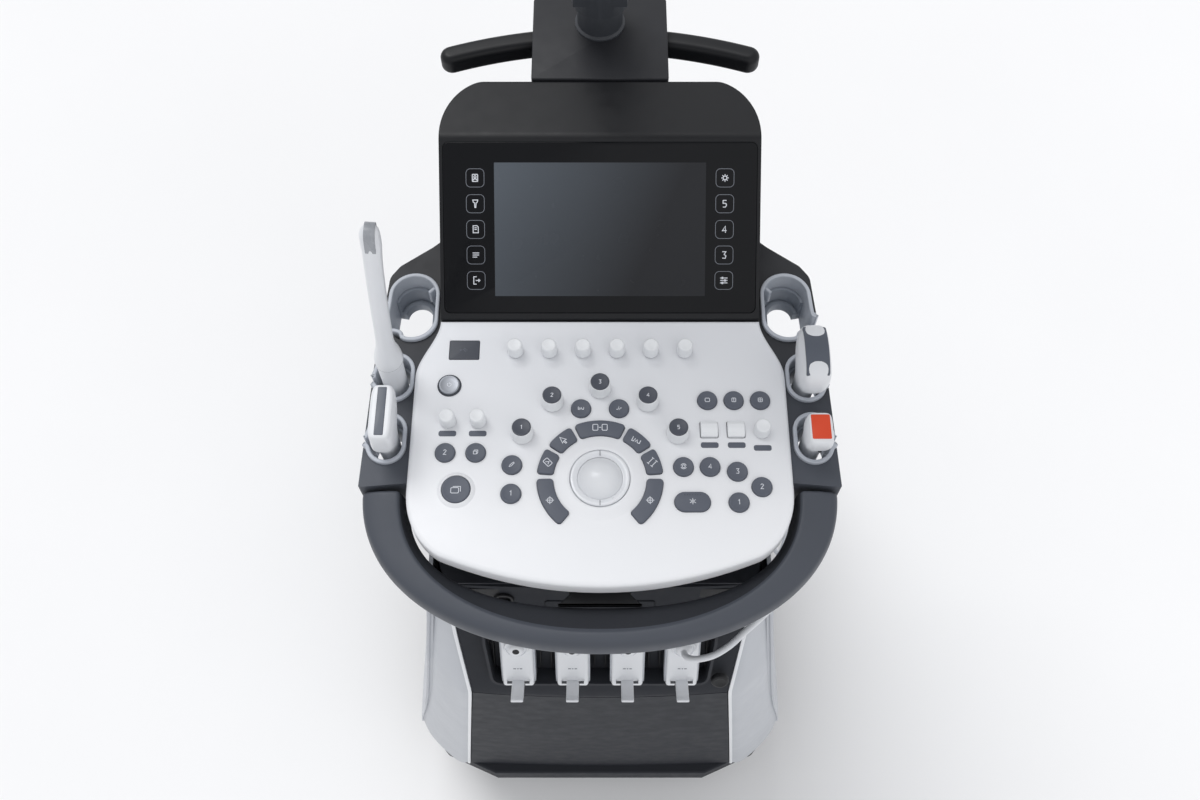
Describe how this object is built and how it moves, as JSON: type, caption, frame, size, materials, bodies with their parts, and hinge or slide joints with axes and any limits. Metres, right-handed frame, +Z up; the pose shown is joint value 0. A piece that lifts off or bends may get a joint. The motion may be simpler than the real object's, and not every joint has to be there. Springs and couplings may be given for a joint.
{
  "type": "ultrasound machine",
  "caption": "Cart-based ultrasound machine with a control console on a lift column, touch screen, probe cups, articulated monitor and swivelling casters.",
  "frame": {"origin": "on the floor, at the centre of the machine's footprint box", "axes": "+Z up, +X to the operator's right, -Y towards the operator"},
  "size_m": [0.5325, 0.72, 1.505],
  "materials": {
    "steel": "satin",
    "dark_plastic": "satin",
    "panel_grey": "satin",
    "light_cover": "satin",
    "white_panel": "satin",
    "handle_grey": "satin",
    "tray_dark": "satin",
    "cup_grey": "satin",
    "gloss_black": "gloss",
    "screen_glass": "gloss",
    "key_grey": "satin",
    "knob_white": "satin",
    "knob_dark": "satin",
    "ball": "gloss",
    "silver": "satin",
    "probe_white": "satin",
    "cable_white": "satin",
    "tyre": "satin",
    "zinc": "satin",
    "aluminium": "satin",
    "rack": "satin",
    "arm_grey": "satin",
    "black_screen": "gloss"
  },
  "bodies": {
    "root": {"base_frame": "steel", "base_cover": "dark_plastic", "front_panel_lower": "panel_grey", "front_panel_upper": "panel_grey", "port_bezel": "dark_plastic", "side_panel_left": "light_cover", "side_panel_right": "light_cover", "rear_cover": "dark_plastic", "top_deck": "dark_plastic", "port_sockets": "zinc", "electronics_rack": "rack", "lift_guide": "aluminium", "connectors": "probe_white", "probe_cable": "cable_white"},
    "console": {"lift_post": "aluminium", "console_tray": "tray_dark", "control_panel": "white_panel", "front_handle": "handle_grey", "probe_cups": "cup_grey", "touch_housing": "gloss_black", "touch_glass": "screen_glass", "rear_bridge": "tray_dark", "rear_handle": "tray_dark", "usb_cover": "key_grey", "trackball_ring": "silver", "probe_cable_loop": "cable_white"},
    "monitor": {"monitor_shell": "arm_grey", "monitor_screen": "black_screen"},
    "disc_drawer": {"disc_drawer": "panel_grey"},
    "caster_fork_fl": {"caster_fork_fl": "zinc"},
    "caster_wheel_fl": {"caster_wheel_fl": "tyre"},
    "caster_fork_fr": {"caster_fork_fr": "zinc"},
    "caster_wheel_fr": {"caster_wheel_fr": "tyre"},
    "caster_fork_rl": {"caster_fork_rl": "zinc"},
    "caster_wheel_rl": {"caster_wheel_rl": "tyre"},
    "caster_fork_rr": {"caster_fork_rr": "zinc"},
    "caster_wheel_rr": {"caster_wheel_rr": "tyre"},
    "connector_levers": {"connector_levers": "probe_white"},
    "release_paddle": {"release_paddle": "tray_dark"},
    "trackball": {"trackball": "ball"},
    "power_button": {"power_button": "silver"},
    "freeze_key": {"freeze_key": "key_grey"},
    "print_key": {"print_key": "key_grey"},
    "keys_left": {"keys_left": "key_grey"},
    "keys_right": {"keys_right": "key_grey"},
    "arc_keys": {"arc_keys": "key_grey"},
    "menu_knobs": {"menu_knobs": "knob_white"},
    "toggles": {"toggles": "knob_white"},
    "mode_knob_1": {"mode_knob_1": "knob_dark"},
    "mode_knob_2": {"mode_knob_2": "knob_dark"},
    "mode_knob_3": {"mode_knob_3": "knob_dark"},
    "mode_knob_4": {"mode_knob_4": "knob_dark"},
    "mode_knob_5": {"mode_knob_5": "knob_dark"},
    "probe_endocavity": {"probe_endocavity": "probe_white"},
    "probe_linear": {"probe_linear": "probe_white"},
    "probe_convex": {"probe_convex": "probe_white"},
    "probe_phased": {"probe_phased": "probe_white"},
    "arm_lower": {"arm_lower": "arm_grey"},
    "arm_upper": {"arm_upper": "arm_grey"},
    "monitor_yoke": {"monitor_yoke": "arm_grey"}
  },
  "joints": [
    {"name": "console_lift", "type": "slide", "parent": "root", "child": "console", "axis": [0, 0, 1], "range_m": [0, 0.15]},
    {"name": "disc_drawer_slide", "type": "slide", "parent": "root", "child": "disc_drawer", "axis": [0, -0.9511, 0.309], "range_m": [0, 0.1]},
    {"name": "caster_swivel_fl", "type": "hinge", "parent": "root", "child": "caster_fork_fl", "pos_m": [-0.205, -0.285, 0.096], "axis": [0, 0, 1], "continuous": true},
    {"name": "wheel_spin_fl", "type": "hinge", "parent": "caster_fork_fl", "child": "caster_wheel_fl", "pos_m": [-0.205, -0.255, 0.043], "axis": [1, 0, 0], "continuous": true},
    {"name": "caster_swivel_fr", "type": "hinge", "parent": "root", "child": "caster_fork_fr", "pos_m": [0.205, -0.285, 0.096], "axis": [0, 0, 1], "continuous": true},
    {"name": "wheel_spin_fr", "type": "hinge", "parent": "caster_fork_fr", "child": "caster_wheel_fr", "pos_m": [0.205, -0.255, 0.043], "axis": [1, 0, 0], "continuous": true},
    {"name": "caster_swivel_rl", "type": "hinge", "parent": "root", "child": "caster_fork_rl", "pos_m": [-0.205, 0.285, 0.096], "axis": [0, 0, 1], "continuous": true},
    {"name": "wheel_spin_rl", "type": "hinge", "parent": "caster_fork_rl", "child": "caster_wheel_rl", "pos_m": [-0.205, 0.255, 0.043], "axis": [1, 0, 0], "continuous": true},
    {"name": "caster_swivel_rr", "type": "hinge", "parent": "root", "child": "caster_fork_rr", "pos_m": [0.205, 0.285, 0.096], "axis": [0, 0, 1], "continuous": true},
    {"name": "wheel_spin_rr", "type": "hinge", "parent": "caster_fork_rr", "child": "caster_wheel_rr", "pos_m": [0.205, 0.255, 0.043], "axis": [1, 0, 0], "continuous": true},
    {"name": "connector_lever_fold", "type": "hinge", "parent": "root", "child": "connector_levers", "pos_m": [0, -0.33439, 0.64133], "axis": [-1, 0, 0], "range_deg": [0, 80]},
    {"name": "release_paddle_press", "type": "hinge", "parent": "console", "child": "release_paddle", "pos_m": [0, -0.246, 0.812], "axis": [-1, 0, 0], "range_deg": [0, 8], "stiffness_Nm_per_rad": 1, "springref_deg": -8.02},
    {"name": "trackball_roll", "type": "hinge", "parent": "console", "child": "trackball", "pos_m": [0, -0.183, 0.8388], "axis": [1, 0, 0], "continuous": true},
    {"name": "power_button_press", "type": "slide", "parent": "console", "child": "power_button", "axis": [0, 0, -1], "range_m": [0, 0.0015], "stiffness_N_per_m": 300, "springref_m": -0.001},
    {"name": "freeze_key_press", "type": "slide", "parent": "console", "child": "freeze_key", "axis": [0, 0, -1], "range_m": [0, 0.0015], "stiffness_N_per_m": 300, "springref_m": -0.001},
    {"name": "print_key_press", "type": "slide", "parent": "console", "child": "print_key", "axis": [0, 0, -1], "range_m": [0, 0.0015], "stiffness_N_per_m": 300, "springref_m": -0.001},
    {"name": "keys_left_press", "type": "slide", "parent": "console", "child": "keys_left", "axis": [0, 0, -1], "range_m": [0, 0.0015], "stiffness_N_per_m": 900, "springref_m": -0.001},
    {"name": "keys_right_press", "type": "slide", "parent": "console", "child": "keys_right", "axis": [0, 0, -1], "range_m": [0, 0.0015], "stiffness_N_per_m": 900, "springref_m": -0.001},
    {"name": "arc_keys_press", "type": "slide", "parent": "console", "child": "arc_keys", "axis": [0, 0, -1], "range_m": [0, 0.0015], "stiffness_N_per_m": 900, "springref_m": -0.001},
    {"name": "menu_knobs_press", "type": "slide", "parent": "console", "child": "menu_knobs", "axis": [0, 0, -1], "range_m": [0, 0.001], "stiffness_N_per_m": 900, "springref_m": -0.001},
    {"name": "toggles_rock", "type": "hinge", "parent": "console", "child": "toggles", "pos_m": [0, -0.131, 0.849], "axis": [1, 0, 0], "range_deg": [-8, 8], "stiffness_Nm_per_rad": 0.05},
    {"name": "mode_knob_1_turn", "type": "hinge", "parent": "console", "child": "mode_knob_1", "pos_m": [-0.07674, -0.13583, 0.85], "axis": [0, 0, 1], "continuous": true},
    {"name": "mode_knob_2_turn", "type": "hinge", "parent": "console", "child": "mode_knob_2", "pos_m": [-0.04758, -0.10077, 0.85], "axis": [0, 0, 1], "continuous": true},
    {"name": "mode_knob_3_turn", "type": "hinge", "parent": "console", "child": "mode_knob_3", "pos_m": [0, -0.086, 0.85], "axis": [0, 0, 1], "continuous": true},
    {"name": "mode_knob_4_turn", "type": "hinge", "parent": "console", "child": "mode_knob_4", "pos_m": [0.04758, -0.10077, 0.85], "axis": [0, 0, 1], "continuous": true},
    {"name": "mode_knob_5_turn", "type": "hinge", "parent": "console", "child": "mode_knob_5", "pos_m": [0.07674, -0.13583, 0.85], "axis": [0, 0, 1], "continuous": true},
    {"name": "probe_endocavity_lift", "type": "slide", "parent": "console", "child": "probe_endocavity", "axis": [0, 0, 1], "range_m": [0, 0.2]},
    {"name": "probe_linear_lift", "type": "slide", "parent": "console", "child": "probe_linear", "axis": [0, 0, 1], "range_m": [0, 0.2]},
    {"name": "probe_convex_lift", "type": "slide", "parent": "console", "child": "probe_convex", "axis": [0, 0, 1], "range_m": [0, 0.2]},
    {"name": "probe_phased_lift", "type": "slide", "parent": "console", "child": "probe_phased", "axis": [0, 0, 1], "range_m": [0, 0.2]},
    {"name": "arm_swivel", "type": "hinge", "parent": "console", "child": "arm_lower", "pos_m": [0, 0.307, 0.985], "axis": [0, 0, 1], "range_deg": [-30, 30]},
    {"name": "arm_raise", "type": "hinge", "parent": "arm_lower", "child": "arm_upper", "pos_m": [0, 0.292, 1.06], "axis": [1, 0, 0], "range_deg": [-15, 30]},
    {"name": "yoke_level", "type": "hinge", "parent": "arm_upper", "child": "monitor_yoke", "pos_m": [0, 0.232, 1.3], "axis": [1, 0, 0], "range_deg": [-30, 15]},
    {"name": "monitor_tilt", "type": "hinge", "parent": "monitor_yoke", "child": "monitor", "pos_m": [0, 0.188, 1.342], "axis": [-1, 0, 0], "range_deg": [-5, 20]}
  ],
  "couplings": [
    {"joint": "yoke_level", "follows": "arm_raise", "ratio": -1}
  ]
}
